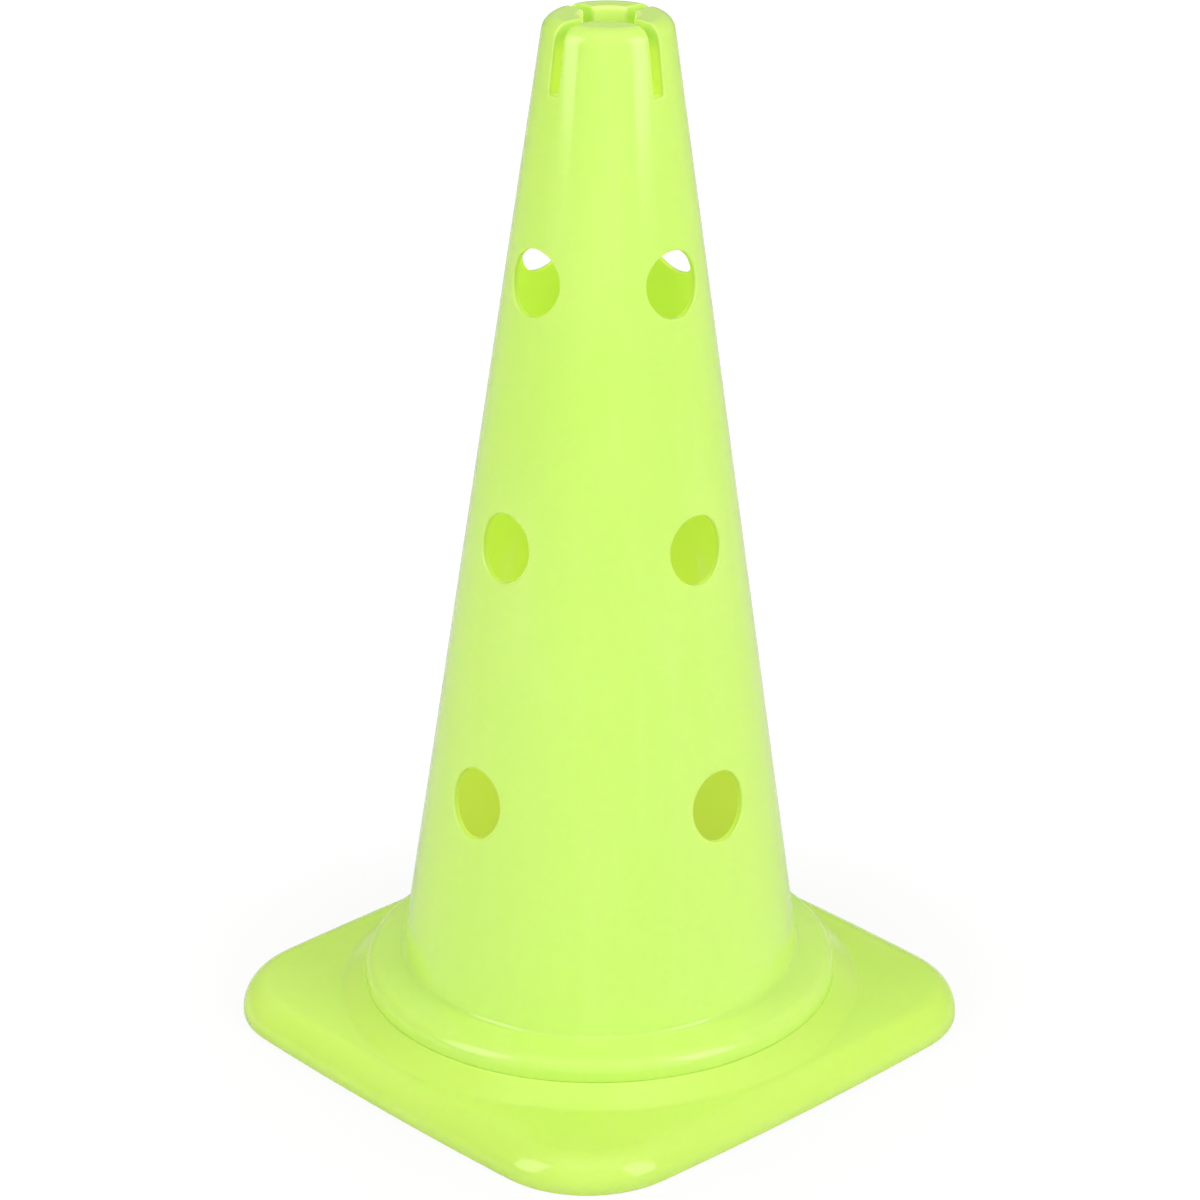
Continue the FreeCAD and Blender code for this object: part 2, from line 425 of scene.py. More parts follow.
        loop = [(i, KS) for i in range(lo, hi + 1)]
        loop += [(hi, k) for k in range(KS - 1, -KS, -1)]
        loop += [(i, -KS) for i in range(hi, lo - 1, -1)]
        loop += [(lo, k) for k in range(-KS + 1, KS)]
        rings = {cell: ring(*cell) for cell in loop}
        m = len(loop)
        for j in range(m):
            A, C = rings[loop[j]], rings[loop[(j + 1) % m]]
            for s in range(len(A) - 1):
                B.face(A[s], C[s], C[s + 1], A[s + 1])

        def u_cells(row, sgn):
            cells = [(row + 2 * sgn, KS), (row + sgn, KS)]
            cells += [(row, k) for k in range(KS, -KS - 1, -1)]
            return cells + [(row + sgn, -KS), (row + 2 * sgn, -KS)]

        T, S = u_cells(lo, 1), u_cells(hi, -1)
        steps = 6
        lines = []
        for ct, cs in zip(T, S):
            va, vb = rings[ct][-1], rings[cs][-1]
            pa, pb = np.array(B.v[va]), np.array(B.v[vb])
            lines.append([va] + [B.vert(*(pa + (pb - pa) * t / steps)) for t in range(1, steps)] + [vb])
        for A, C in zip(lines[:-1], lines[1:]):
            for s in range(steps):
                B.face(A[s], A[s + 1], C[s + 1], C[s])
        plus = [rings[(i, KS)][-1] for i in range(lo + 2, hi - 1)]
        B.face(*(plus + lines[0][::-1][1:-1]))
        minus = [rings[(i, -KS)][-1] for i in range(lo + 2, hi - 1)]
        B.face(*((minus + lines[-1][::-1][1:-1])[::-1]))

        # hidden side of the lining: floor underside and the cheeks' backs
        a_row, c_row = ti["lo"], ti["hi"]
        steps = 4
        under = []
        for k in range(KS, -KS - 1, -1):
            va, vb = II[a_row][q][k + KQ], II[c_row][q][k + KQ]
            pa, pb = np.array(B.v[va]), np.array(B.v[vb])
            under.append([va] + [B.vert(*(pa + (pb - pa) * t / steps)) for t in range(1, steps)] + [vb])
        for A, C in zip(under[:-1], under[1:]):
            for s in range(steps):
                B.face(A[s], C[s], C[s + 1], A[s + 1])
        for side, line, flip in ((KS, under[0], True), (-KS, under[-1], False)):
            col = [II[i][q][side + KQ] for i in range(a_row, c_row + 1)]
            poly = col + line[::-1][1:-1]
            B.face(*(poly[::-1] if flip else poly))
            for a, b in list(zip(col[:-1], col[1:])) + list(zip(line[:-1], line[1:])):
                B.sharpen(a, b, 1.0)
        for row, idx in ((a_row, 0), (c_row, -1)):
            ends = [u[idx] for u in under]
            for a, b in zip(ends[:-1], ends[1:]):
                B.sharpen(a, b, 1.0)

    # pole holes
    for zc, h in zip(HOLE_Z, HOLE_HALF):
        def limits(rows):
            near = [i for i in range(len(rows)) if rows[i][1] < 420]
            return (min(near, key=lambda i: abs(rows[i][1] - (zc - h))),
                    min(near, key=lambda i: abs(rows[i][1] - (zc + h))))

        for q in range(4):
            s_, t_ = (0, 1, 0, -1)[q], (1, 0, -1, 0)[q]

            def unrotate(v):
                x, y, z = B.v[v]
                return (x * t_ + y * s_, -x * s_ + y * t_, z)

            def rings_of(ids, rows, radial, edge, segs, outer):
                """Rings from the patch border in to the end of the rim's round."""
                r0, r1 = limits(rows)
                border = [(r0, k) for k in range(-KP, KP)]
                border += [(i, KP) for i in range(r0, r1)]
                border += [(r1, k) for k in range(KP, -KP, -1)]
                border += [(i, -KP) for i in range(r1, r0, -1)]
                m = len(border)
                edge_ids = [ids[i][q][k + KQ] for i, k in border]
                loc = [unrotate(v) for v in edge_ids]
                out = [edge_ids]
                ang = [math.atan2(p[2] - zc, p[1]) for p in loc]
                base = ang[0]
                un = [(a - base) % (2 * math.pi) for a in ang]
                ang = [base + 0.7 * u + 0.3 * 2 * math.pi * j / m for j, u in enumerate(un)]

                def surf(y, z):
                    return math.sqrt(radial(z) ** 2 - y * y)

                arcs = []
                for a in ang:
                    cy, cz = math.cos(a), math.sin(a)
                    y, z = HOLE_R * cy, HOLE_R * cz + zc
                    x = surf(y, z)
                    e = 0.05
                    slope = (surf((HOLE_R + e) * cy, (HOLE_R + e) * cz + zc) - x) / e
                    bvec = np.array([1.0, slope]) / math.hypot(1.0, slope)
                    avec = np.array([0.0, -1.0]) if outer else np.array([0.0, 1.0])
                    half = math.acos(float(avec @ bvec)) / 2
                    t = edge / math.tan(half)
                    bis = (avec + bvec) / np.linalg.norm(avec + bvec)
                    cc = bis * edge / math.sin(half)
                    st, en = bvec * t - cc, avec * t - cc
                    sweep = math.pi - 2 * half
                    sg = 1.0 if st[0] * en[1] - st[1] * en[0] > 0 else -1.0
                    pts = []
                    for kk in range(segs + 1):
                        g = sg * sweep * kk / segs
                        d = cc + np.array([st[0] * math.cos(g) - st[1] * math.sin(g),
                                           st[0] * math.sin(g) + st[1] * math.cos(g)])
                        rho = HOLE_R + d[0]
                        pts.append((rho * cy, rho * cz + zc, x + d[1], kk == 0))
                    arcs.append(pts)
                for frac in (0.70, 0.46, 0.27, 0.13, 0.045):
                    ring_ = []
                    for j in range(m):
                        y = arcs[j][0][0] + (loc[j][1] - arcs[j][0][0]) * frac
                        z = arcs[j][0][1] + (loc[j][2] - arcs[j][0][1]) * frac
                        ring_.append(B.vert(*local(q, surf(y, z), y, z)))
                    out.append(ring_)
                for kk in range(segs + 1):
                    ring_ = []
                    for j in range(m):
                        y, z, x, on = arcs[j][kk]
                        ring_.append(B.vert(*local(q, surf(y, z) if on else x, y, z)))
                    out.append(ring_)
                return out

            A = rings_of(OI, ro, taper_r, HOLE_EDGE, 5, True)
            C = rings_of(II, ri, lambda z: taper_r(z) - IN_OFF, 0.35, 3, False)
            mid = []
            for a, b in zip(A[-1], C[-1]):
                pa, pb = B.v[a], B.v[b]
                mid.append(B.vert(*[(u + v) / 2 for u, v in zip(pa, pb)]))
            allr = A + [mid] + C[::-1]
            m = len(mid)
            for R1, R2 in zip(allr[:-1], allr[1:]):
                for j in range(m):
                    jn = (j + 1) % m
                    B.face(R1[j], R1[jn], R2[jn], R2[j])

    # snap tabs, drawn down from the collar's underside between two rows
    tab_row = ti["tab"]
    prof_out = [(TAB_OUT, SEAT_Z - WALL - 0.2), (TAB_BARB, SEAT_Z - WALL - 0.2),
                (TAB_BARB, SEAT_Z - WALL - 1.0), (TAB_OUT - 0.2, TAB_Z)]
    prof_in = [(TAB_IN, SEAT_Z - WALL - 0.2), (TAB_IN, SEAT_Z - WALL - 0.2),
               (TAB_IN, SEAT_Z - WALL - 1.0), (TAB_IN, TAB_Z)]
    for q in range(4):
        for k0, k1 in ((t0, t1), (-t1, -t0)):
            cols = []
            for k in range(k0, k1 + 1):
                outer_ = [II[tab_row][q][k + KQ]]
                inner_ = [II[tab_row + 1][q][k + KQ]]
                a = column_angle(k, 106.0, half_i)
                for m_, (po, pi_) in enumerate(zip(prof_out, prof_in)):
                    outer_.append(B.vert(*local(q, po[0] * math.cos(a), po[0] * math.sin(a), po[1])))
                    if m_ == 1:
                        inner_.append(inner_[-1])
                    else:
                        inner_.append(B.vert(*local(q, pi_[0] * math.cos(a), pi_[0] * math.sin(a), pi_[1])))
                cols.append((outer_, inner_))
            last = len(cols[0][0]) - 1
            for (o1, i1), (o2, i2) in zip(cols[:-1], cols[1:]):
                for m_ in range(last):
                    B.face(o1[m_], o1[m_ + 1], o2[m_ + 1], o2[m_])
                    if i1[m_] != i1[m_ + 1]:
                        B.face(i1[m_], i2[m_], i2[m_ + 1], i1[m_ + 1])
                B.face(o1[last], i1[last], i2[last], o2[last])
                for m_ in (0, 1, 2, 3, last):
                    B.sharpen(o1[m_], o2[m_], 0.9 if m_ else 0.5)
                B.sharpen(i1[last], i2[last], 0.9)
            for (oo, ii), flip in ((cols[0], False), (cols[-1], True)):
                for m_ in (0, 2, 3):
                    ids = (oo[m_], ii[m_], ii[m_ + 1], oo[m_ + 1])
                    if m_ == 2:
                        ids = (oo[1],) + ids[1:] + (oo[2],)
                    B.face(*(ids[::-1] if flip else ids))
                for line in (oo, ii):
                    for a_, b_ in zip(line[:-1], line[1:]):
                        if a_ != b_:
                            B.sharpen(a_, b_, 0.9)
                B.sharpen(oo[last], ii[last], 0.9)
                B.sharpen(oo[0], ii[0], 0.6)
    return B.make("cone_body_moulding")


# --------------------------------------------------------------------------
# base plate
# --------------------------------------------------------------------------
N_BASE = 256


def outline_points():
    """Points and outward normals of the plate's outline, one per column."""
    hw, rc, c = SIDE_HALF, CORNER_R, CORNER_C
    k = hw - c
    rs = (rc * rc - k * k - c * c) / (2.0 * (rc - k))
    cx = hw - rs
    at = math.atan2(c, c - cx)
    tx, ty = cx + rs * math.cos(at), rs * math.sin(at)
    ft = math.atan2(ty, tx)
    pts = []
    for j in range(N_BASE):
        u = 2 * math.pi * j / N_BASE
        phi = u + 0.135 * math.sin(4 * u)
        q = int(math.floor((phi + math.pi / 4) / (math.pi / 2))) % 4
        a = phi - q * math.pi / 2
        a = (a + math.pi) % (2 * math.pi) - math.pi
        d = np.array([math.cos(a), math.sin(a)])
        if abs(a) <= ft:
            centre, rad = np.array([cx, 0.0]), rs
        else:
            centre, rad = np.array([c, math.copysign(c, a)]), rc
        b = float(d @ centre)
        t = b + math.sqrt(b * b - float(centre @ centre) + rad * rad)
        p = d * t
        nrm = (p - centre) / rad
        co, si = math.cos(q * math.pi / 2), math.sin(q * math.pi / 2)
        rot = np.array([[co, -si], [si, co]])
        pts.append((rot @ p, rot @ nrm, phi))
    return pts


def build_base():
    B = Builder()
    out = outline_points()
    slope = (SEAT_Z - PLATE_H) / (FLARE_R - SEAT_R)
    n_off = WALL * (math.sqrt(1 + slope * slope) - 1.0) / slope
    zi = PLATE_H - WALL

    def circle(r, z):
        return [(r * math.cos(p[2]), r * math.sin(p[2]), z) for p in out]

    def rim(inset, z):
        return [(p[0][0] - p[1][0] * inset, p[0][1] - p[1][1] * inset, z) for p in out]

    def between(a, b, t):
        return [tuple(u + (v - u) * t for u, v in zip(x, y)) for x, y in zip(a, b)]

    rings = []
    # mouth edge, seat, seat edge, flare, blend
    for k in range(4):
        g = math.radians(30 * k)
        rings.append(circle(MOUTH_R + 0.4 * (1 - math.cos(g)), SEAT_Z - 0.4 + 0.4 * math.sin(g)))
    for r in (110.5, 113.2):
        rings.append(circle(r, SEAT_Z))
    top = path([(MOUTH_R + 0.4, SEAT_Z, 0, 0), (SEAT_R, SEAT_Z, 0.5, 4), (FLARE_R, PLATE_H, FLARE_BLEND, 7),
                (FLARE_R + 20, PLATE_H, 0, 0)])
    for p in top[1]:
        rings.append(circle(*p))
    a, b = top[1][-1], top[2][0]
    for t in (0.2, 0.5, 0.8):
        rings.append(circle(*(a + (b - a) * t)))
    for p in top[2]:
        rings.append(circle(*p))
    first, last = rings[-1], rim(RIM_ROUND, PLATE_H)
    for t in (0.08, 0.2, 0.35, 0.5, 0.65, 0.8, 0.92):
        rings.append(between(first, last, t))
    for k in range(0, 13):
        g = math.radians(90 * k / 12)
        rings.append(rim(RIM_ROUND * (1 - math.sin(g)), PLATE_H - RIM_ROUND * (1 - math.cos(g))))
    rings.append(rim(0.0, 1.2))
    e = 0.6
    for k in range(0, 4):
        g = math.radians(30 * k)
        rings.append(rim(e * (1 - math.cos(g)), e - e * math.sin(g)))
    rings.append(rim(1.5, 0.0))
    e = 0.4
    for k in range(0, 4):
        g = math.radians(30 * k)
        rings.append(rim(WALL - e + e * math.sin(g), e * (1 - math.cos(g))))
    rings.append(rim(WALL, 1.2))
    ri = RIM_ROUND - WALL
    for k in range(0, 9):
        g = math.radians(90 * k / 8)
        rings.append(rim(WALL + ri * (1 - math.cos(g)), zi - ri + ri * math.sin(g)))
    first = rings[-1]
    last = circle(FLARE_R - n_off, zi)
    for t in (0.08, 0.2, 0.35, 0.5, 0.65, 0.8, 0.92, 1.0):
        rings.append(between(first, last, t))
    under = path([(FLARE_R - n_off, zi, 0, 0), (SEAT_R - n_off, SEAT_Z - WALL, 0.8, 3), (MOUTH_R, SEAT_Z - WALL, 0, 0)])
    a, b = under[0][0], under[1][0]
    for t in (0.33, 0.66):
        rings.append(circle(*(a + (b - a) * t)))
    for p in under[1]:
        rings.append(circle(*p))
    rings.append(circle(111.0, SEAT_Z - WALL))
    for k in range(4):
        g = math.radians(30 * k)
        rings.append(circle(MOUTH_R + 0.4 * (1 - math.sin(g)), SEAT_Z - WALL + 0.4 * (1 - math.cos(g))))
    ids = [[B.vert(*p) for p in ring] for ring in rings]
    m = len(ids)
    for i in range(m):
        R1, R2 = ids[i], ids[(i + 1) % m]
        for j in range(N_BASE):
            jn = (j + 1) % N_BASE
            B.face(R1[j], R2[j], R2[jn], R1[jn])
    return B.make("base_plate_moulding")


body = build_body()
base = build_base()

for ob in (body, base):
    sub = ob.modifiers.new("smooth", "SUBSURF")
    sub.levels = 1
    sub.render_levels = 1
    sub.use_limit_surface = False
    sub.boundary_smooth = "PRESERVE_CORNERS"


# --------------------------------------------------------------------------
# materials
# --------------------------------------------------------------------------
def srgb(r, g, b):
    def lin(c):
        c /= 255.0
        return c / 12.92 if c <= 0.04045 else ((c + 0.055) / 1.055) ** 2.4
    return (lin(r), lin(g), lin(b), 1.0)


def moulded_plastic(name, seed, body_tint, deep_tint, pale_tint, flow, glow_tint, glow, coat, hidden):
    """Glossy, slightly translucent fluorescent polyethylene, straight from the mould, with painted glow and painted
    tints standing in for light and shade.
    """
    mat = bpy.data.materials.new(name)
    mat.use_nodes = True
    nt = mat.node_tree
    nt.nodes.clear()
    L = nt.links.new

    def node(kind, **kw):
        n_ = nt.nodes.new(kind)
        for key, val in kw.items():
            setattr(n_, key, val)
        return n_

    def noise(vec, scale, detail=3.0, rough=0.5, distort=0.0):
        n_ = node("ShaderNodeTexNoise", noise_dimensions="3D")
        n_.inputs["Scale"].default_value = scale
        n_.inputs["Detail"].default_value = detail
        n_.inputs["Roughness"].default_value = rough
        n_.inputs["Distortion"].default_value = distort
        L(vec, n_.inputs["Vector"])
        return n_.outputs["Fac"]

    def ramp(val, lo, hi, a=0.0, b=1.0):
        n_ = node("ShaderNodeMapRange", clamp=True, interpolation_type="SMOOTHSTEP")
        n_.inputs["From Min"].default_value = lo
        n_.inputs["From Max"].default_value = hi
        n_.inputs["To Min"].default_value = a
        n_.inputs["To Max"].default_value = b
        L(val, n_.inputs["Value"])
        return n_.outputs["Result"]

    def math_(op, a, b=None):
        n_ = node("ShaderNodeMath", operation=op)
        for s, v in zip(n_.inputs, (a, b)):
            if v is None:
                continue
            if isinstance(v, (int, float)):
                s.default_value = v
            else:
                L(v, s)
        return n_.outputs[0]

    def mix(fac, a, b, blend="MIX"):
        n_ = node("ShaderNodeMix", data_type="RGBA", blend_type=blend)
        if isinstance(fac, (int, float)):
            n_.inputs[0].default_value = fac
        else:
            L(fac, n_.inputs[0])
        for s, v in ((n_.inputs[6], a), (n_.inputs[7], b)):
            if isinstance(v, tuple):
                s.default_value = v
            else:
                L(v, s)
        return n_.outputs[2]

    tc = node("ShaderNodeTexCoord")
    shift = node("ShaderNodeVectorMath", operation="ADD")
    shift.inputs[1].default_value = (seed, seed * 0.7, seed * 1.3)
    L(tc.outputs["Object"], shift.inputs[0])
    obj, place = shift.outputs[0], tc.outputs["Object"]
    geo = node("ShaderNodeNewGeometry")
    sep = node("ShaderNodeSeparateXYZ")
    L(place, sep.inputs[0])

    stretch = node("ShaderNodeMapping")
    stretch.inputs["Scale"].default_value = flow
    L(obj, stretch.inputs["Vector"])

    # colour: broad drift, faint flow streaks, pigment speckle
    broad = noise(obj, 7.0, 1.0, 0.5, 0.3)
    streak = noise(stretch.outputs[0], 1.0, 3.0, 0.55, 0.6)
    speck = noise(obj, 900.0, 1.0, 0.6)
    c = mix(ramp(broad, 0.35, 0.65, 0.0, 1.0), body_tint, deep_tint)
    c = mix(math_("MULTIPLY", ramp(streak, 0.42, 0.70), 0.35), c, pale_tint)
    c = mix(math_("MULTIPLY", ramp(speck, 0.60, 0.75), 0.06), c, deep_tint)

    # wear: convex edges rub pale; the lowest millimetres are greyed in noisy patches
    edge = ramp(geo.outputs["Pointiness"], 0.515, 0.60)
    rub = math_("MULTIPLY", edge, ramp(noise(obj, 160.0, 3.0, 0.6, 0.4), 0.40, 0.65))
    c = mix(math_("MULTIPLY", rub, 0.25), c, pale_tint)
    low = ramp(sep.outputs["Z"], 0.0, 0.007, 1.0, 0.0)
    low_grey = math_("MULTIPLY", low, ramp(noise(obj, 220.0, 3.0, 0.65), 0.35, 0.70, 0.35, 1.0))
    c = mix(math_("MULTIPLY", low_grey, 0.30), c, srgb(186, 196, 140))

    # fine hairline scuffs in two directions
    def hairlines(rot, where):
        mp = node("ShaderNodeMapping")
        mp.inputs["Rotation"].default_value = rot
        mp.inputs["Scale"].default_value = (2600.0, 40.0, 40.0)
        L(obj, mp.inputs["Vector"])
        s = noise(mp.outputs[0], 1.0, 0.0, 0.4)
        area = noise(obj, where, 1.0, 0.5)
        return math_("MULTIPLY", ramp(s, 0.70, 0.80), ramp(area, 0.52, 0.66))

    scuff = math_("MAXIMUM", hairlines((0.3, 0.2, 0.7), 24.0), hairlines((-0.5, 0.9, -0.4), 31.0))

    # roughness: glossy, slightly uneven, duller on wear and on the greyed lowest millimetres
    r_cloud = noise(obj, 18.0, 2.0, 0.55, 0.2)
    r = ramp(r_cloud, 0.3, 0.7, 0.125, 0.175)
    r = math_("ADD", r, math_("MULTIPLY", scuff, 0.06))
    r = math_("ADD", r, math_("MULTIPLY", rub, 0.10))
    r = math_("ADD", r, math_("MULTIPLY", low_grey, 0.22))

    # surface relief: soft sink waves, fine mould texture, hairlines
    waves = noise(obj, 26.0, 1.0, 0.45)
    peel = noise(obj, 420.0, 1.0, 0.5)
    grain = noise(obj, 1500.0, 0.0, 0.5)
    h = math_("MULTIPLY", waves, 0.000030)
    h = math_("ADD", h, math_("MULTIPLY", peel, 0.0000042))
    h = math_("ADD", h, math_("MULTIPLY", grain, 0.0000012))
    bump = node("ShaderNodeBump")
    bump.inputs["Strength"].default_value = 1.0
    bump.inputs["Distance"].default_value = 1.0
    L(h, bump.inputs["Height"])

    p = node("ShaderNodeBsdfPrincipled")
    p.subsurface_method = "RANDOM_WALK"
    painted_glow, painted_nook_tint, foot = hidden(node, L, math_, ramp, sep, obj)
    # painted light: a paler tint in the crown's nooks and a slight one in the seat gap, then a painted yellow tint on
    # the hidden side of the wall, standing in for light coming through it
    c2 = mix(math_("MAXIMUM", painted_nook_tint, math_("MULTIPLY", foot, 0.1)), c, (0.80, 0.97, 0.30, 1.0))
    c2 = mix(math_("MULTIPLY", painted_glow, 0.7), c2, (0.90, 0.94, 0.12, 1.0))
    L(c2, p.inputs["Base Color"])
    L(r, p.inputs["Roughness"])
    L(bump.outputs[0], p.inputs["Normal"])
    p.inputs["IOR"].default_value = 1.51
    p.inputs["Specular IOR Level"].default_value = 0.38
    p.inputs["Coat Weight"].default_value = coat
    p.inputs["Coat Roughness"].default_value = 0.05
    p.inputs["Subsurface Weight"].default_value = 0.55
    p.inputs["Subsurface Radius"].default_value = (0.9, 1.0, 0.25)
    p.inputs["Subsurface Scale"].default_value = 0.004
    p.inputs["Subsurface Anisotropy"].default_value = 0.0
    # painted light: a small painted glow over the whole surface, a stronger painted glow on the hidden side of the thin
    # wall standing in for daylight that comes filtered through it, and a faint painted glow in the seat gap
    L(mix(painted_glow, c, glow_tint), p.inputs["Emission Color"])
    L(math_("ADD", math_("ADD", math_("MULTIPLY", painted_glow, glow), math_("MULTIPLY", foot, 0.02)), 0.05),
      p.inputs["Emission Strength"])
    out = node("ShaderNodeOutputMaterial")
    L(p.outputs[0], out.inputs["Surface"])
    return mat


def body_painted_light_masks(node, L, math_, ramp, sep, obj):
    """Masks for painted light on the body; the first is 1 on the hidden side of the tapered wall and in the slots, 0
    outside and in the bore.
    """
    x, y, z = sep.outputs[0], sep.outputs[1], sep.outputs[2]
    r = math_("SQRT", math_("ADD", math_("MULTIPLY", x, x), math_("MULTIPLY", y, y)))
    skin = math_("SUBTRACT", BODY_R0 * MM, math_("MULTIPLY", z, TAPER))
    painted_glow = ramp(math_("SUBTRACT", skin, r), 0.0008, 0.0030)
    bore = ramp(r, (OPEN_R + 0.3) * MM, (OPEN_R + 1.2) * MM)
    below = ramp(z, (SOCKET_Z - 2.0) * MM, SOCKET_Z * MM, 1.0, 0.0)
    roof = ramp(z, (H - 14.0) * MM, (H - 5.0) * MM, 1.0, 0.0)
    painted_glow = math_("MULTIPLY", math_("MULTIPLY", painted_glow, math_("MAXIMUM", bore, below)), roof)
    # painted light in the nooks of the crown, the bore and the slots' edges: a paler tint that offsets the deeper
    # colour bounced light gives there
    near = math_("MINIMUM", math_("ABSOLUTE", x), math_("ABSOLUTE", y))
    slot = math_("MULTIPLY", ramp(near, 0.0034, 0.0046, 1.0, 0.0),
                 ramp(z, (SLOT_BOTTOM - 1.6) * MM, (SLOT_BOTTOM - 0.2) * MM))
    hollow = ramp(r, (OPEN_R + 0.9) * MM, (OPEN_R + 2.4) * MM, 1.0, 0.0)
    # the fine gap where the collar stands on the base, lightened with painted light so its shade line shows less
    foot = math_("MULTIPLY", ramp(z, (SEAT_Z + 0.25) * MM, (SEAT_Z + 0.9) * MM, 1.0, 0.0),
                 ramp(r, (COLLAR_R - 2.0) * MM, (COLLAR_R - 0.7) * MM))
    # the painted glow eases to two thirds between the lowest and the middle hole
    glow_z = ramp(z, HOLE_Z[0] * MM, HOLE_Z[1] * MM, 1.0, 0.66)
    return math_("MULTIPLY", painted_glow, glow_z), math_("MAXIMUM", math_("MULTIPLY", slot, 0.25), math_("MULTIPLY", hollow, 0.8)), foot


def base_painted_light_masks(node, L, math_, ramp, sep, obj):
    """Same painted light masks for the base plate: only the ring next to the collar's foot."""
    x, y, z = sep.outputs[0], sep.outputs[1], sep.outputs[2]
    r = math_("SQRT", math_("ADD", math_("MULTIPLY", x, x), math_("MULTIPLY", y, y)))
    foot = math_("MULTIPLY", ramp(z, (SEAT_Z - 0.6) * MM, (SEAT_Z - 0.2) * MM),
                 ramp(r, (COLLAR_R - 2.0) * MM, (COLLAR_R - 0.8) * MM))
    none = math_("MULTIPLY", z, 0.0)
    return none, none, foot


BODY_MAT = moulded_plastic(
    "fluorescent_pe_body", 0.0,
    (0.655, 0.955, 0.180, 1.0), (0.640, 0.945, 0.166, 1.0), (0.690, 0.965, 0.217, 1.0),
    (55.0, 55.0, 5.0), (0.82, 0.95, 0.22, 1.0), 0.165, 0.20, body_painted_light_masks)
BASE_MAT = moulded_plastic(
    "fluorescent_pe_base", 4.0,
    (0.648, 0.945, 0.150, 1.0), (0.632, 0.932, 0.136, 1.0), (0.690, 0.958, 0.192, 1.0),
    (18.0, 18.0, 40.0), (0.86, 0.95, 0.20, 1.0), 0.0, 0.06, base_painted_light_masks)

body.data.materials.append(BODY_MAT)
base.data.materials.append(BASE_MAT)
for ob, node_name, slot_name in ((body, "cone_body", "body_plastic"), (base, "base_plate", "base_plastic")):
    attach(ob, "root")
    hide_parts(node_name)


# --------------------------------------------------------------------------
# studio: pale floor, soft light, camera
# --------------------------------------------------------------------------
def pale_floor():
    me = bpy.data.meshes.new("studio_floor")
    n_, rad = 96, 6.0
    verts, faces = [(0.0, 0.0, 0.0)], []
    rings = [0.25, 0.6, 1.2, 2.4, rad]
    for r in rings:
        verts += [(r * math.cos(2 * math.pi * k / n_), r * math.sin(2 * math.pi * k / n_), 0.0) for k in range(n_)]
    for k in range(n_):
        faces.append((0, 1 + k, 1 + (k + 1) % n_))
    for i in range(len(rings) - 1):
        a, b = 1 + i * n_, 1 + (i + 1) * n_
        for k in range(n_):
            faces.append((a + k, b + k, b + (k + 1) % n_, a + (k + 1) % n_))
    me.from_pydata(verts, [], faces)
    ob = bpy.data.objects.new("studio_floor", me)
    bpy.context.scene.collection.objects.link(ob)
    mat = bpy.data.materials.new("pale_floor")
    mat.use_nodes = True
    nt = mat.node_tree
    p = nt.nodes["Principled BSDF"]
    tc = nt.nodes.new("ShaderNodeTexCoord")
    nz = nt.nodes.new("ShaderNodeTexNoise")
    nz.inputs["Scale"].default_value = 3.0
    nz.inputs["Detail"].default_value = 3.0
    rp = nt.nodes.new("ShaderNodeMapRange")
    rp.inputs["To Min"].default_value = 0.73
    rp.inputs["To Max"].default_value = 0.76
    cb = nt.nodes.new("ShaderNodeCombineColor")
    nt.links.new(tc.outputs["Object"], nz.inputs["Vector"])
    nt.links.new(nz.outputs["Fac"], rp.inputs["Value"])
    for s in cb.inputs:
        nt.links.new(rp.outputs[0], s)
    nt.links.new(cb.outputs[0], p.inputs["Base Color"])
    p.inputs["Roughness"].default_value = 0.75
    p.inputs["Specular IOR Level"].default_value = 0.2
    # lit sweep: the camera sees the floor washed to white away from the object
    ln = nt.nodes.new("ShaderNodeVectorMath")
    ln.operation = "LENGTH"
    nt.links.new(tc.outputs["Object"], ln.inputs[0])
    wash = nt.nodes.new("ShaderNodeMapRange")
    wash.interpolation_type = "SMOOTHSTEP"
    for key, val in (("From Min", 0.14), ("From Max", 0.34), ("To Min", FLOOR_WASH), ("To Max", 1.0)):
        wash.inputs[key].default_value = val
    nt.links.new(ln.outputs["Value"], wash.inputs["Value"])
    lp = nt.nodes.new("ShaderNodeLightPath")
    fac = nt.nodes.new("ShaderNodeMath")
    fac.operation = "MULTIPLY"
    nt.links.new(wash.outputs[0], fac.inputs[0])
    nt.links.new(lp.outputs["Is Camera Ray"], fac.inputs[1])
    em = nt.nodes.new("ShaderNodeEmission")
    em.inputs["Color"].default_value = (1.0, 1.0, 1.0, 1.0)
    em.inputs["Strength"].default_value = 1.06
    mx = nt.nodes.new("ShaderNodeMixShader")
    nt.links.new(fac.outputs[0], mx.inputs[0])
    nt.links.new(p.outputs[0], mx.inputs[1])
    nt.links.new(em.outputs[0], mx.inputs[2])
    nt.links.new(mx.outputs[0], nt.nodes["Material Output"].inputs["Surface"])
    me.materials.append(mat)
    return ob


# camera position and projection in the row frame, metres
CAM = Vector((1.54592, -1.44248, 1.06910))
AZ = math.degrees(math.atan2(CAM.x, -CAM.y))
FLOOR_WASH = 0.80
WORLD_FAR, WORLD_NEAR = 0.38, 0.72

pale_floor()


